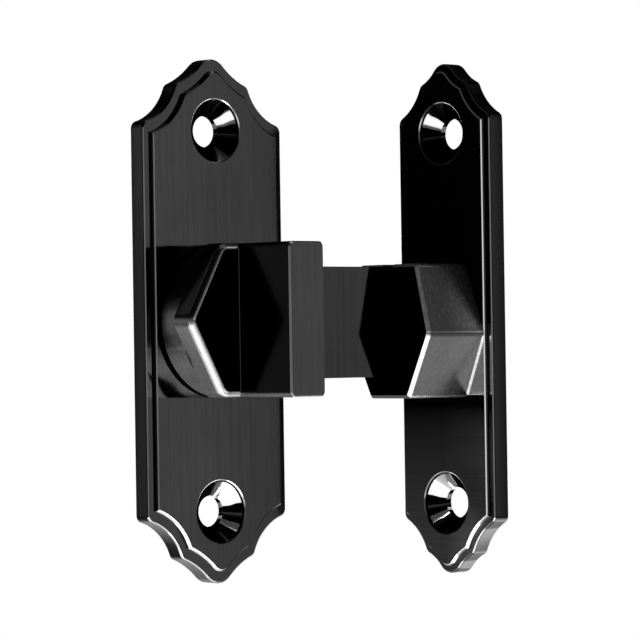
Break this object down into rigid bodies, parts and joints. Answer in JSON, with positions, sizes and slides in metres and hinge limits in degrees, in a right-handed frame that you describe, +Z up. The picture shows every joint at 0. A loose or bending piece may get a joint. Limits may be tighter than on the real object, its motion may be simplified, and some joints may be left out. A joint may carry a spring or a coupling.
{
  "type": "barn door latch",
  "caption": "Inside-corner flip latch: a turning head on an ogee-ended plate swings a flat blade into the slotted hexagonal block of a matching keeper plate set at a right angle.",
  "frame": {"origin": "on the back of the latch plate, on the axis that the head turns about, midway between the plate's two screw holes", "axes": "+Z up along the plates, -Y out of the latch plate's front, +X from the latch plate towards the keeper, whose front faces -X"},
  "size_m": [0.0524, 0.0292, 0.0826],
  "materials": {
    "latch_plate_metal": "black plated, brushed along the plate",
    "keeper_plate_metal": "black plated, brushed across the plate",
    "head_metal": "black plated, satin sides and polished end faces",
    "blade_metal": "black plated, brushed upright",
    "fixing_metal": "plain satin"
  },
  "bodies": {
    "plates": {"latch_plate": "latch_plate_metal", "disc_spring": "fixing_metal", "foot_washer": "fixing_metal", "keeper_plate": "keeper_plate_metal", "keeper_block": "head_metal", "block_screw_near": "fixing_metal", "block_screw_far": "fixing_metal"},
    "head": {"latch_head": "head_metal", "latch_blade": "blade_metal", "pivot_screw": "fixing_metal"}
  },
  "joints": [
    {"name": "head_turn", "type": "hinge", "parent": "plates", "child": "head", "pos_m": [0, -0.0088, 0], "axis": [0, -1, 0], "range_deg": [0, 180]}
  ]
}
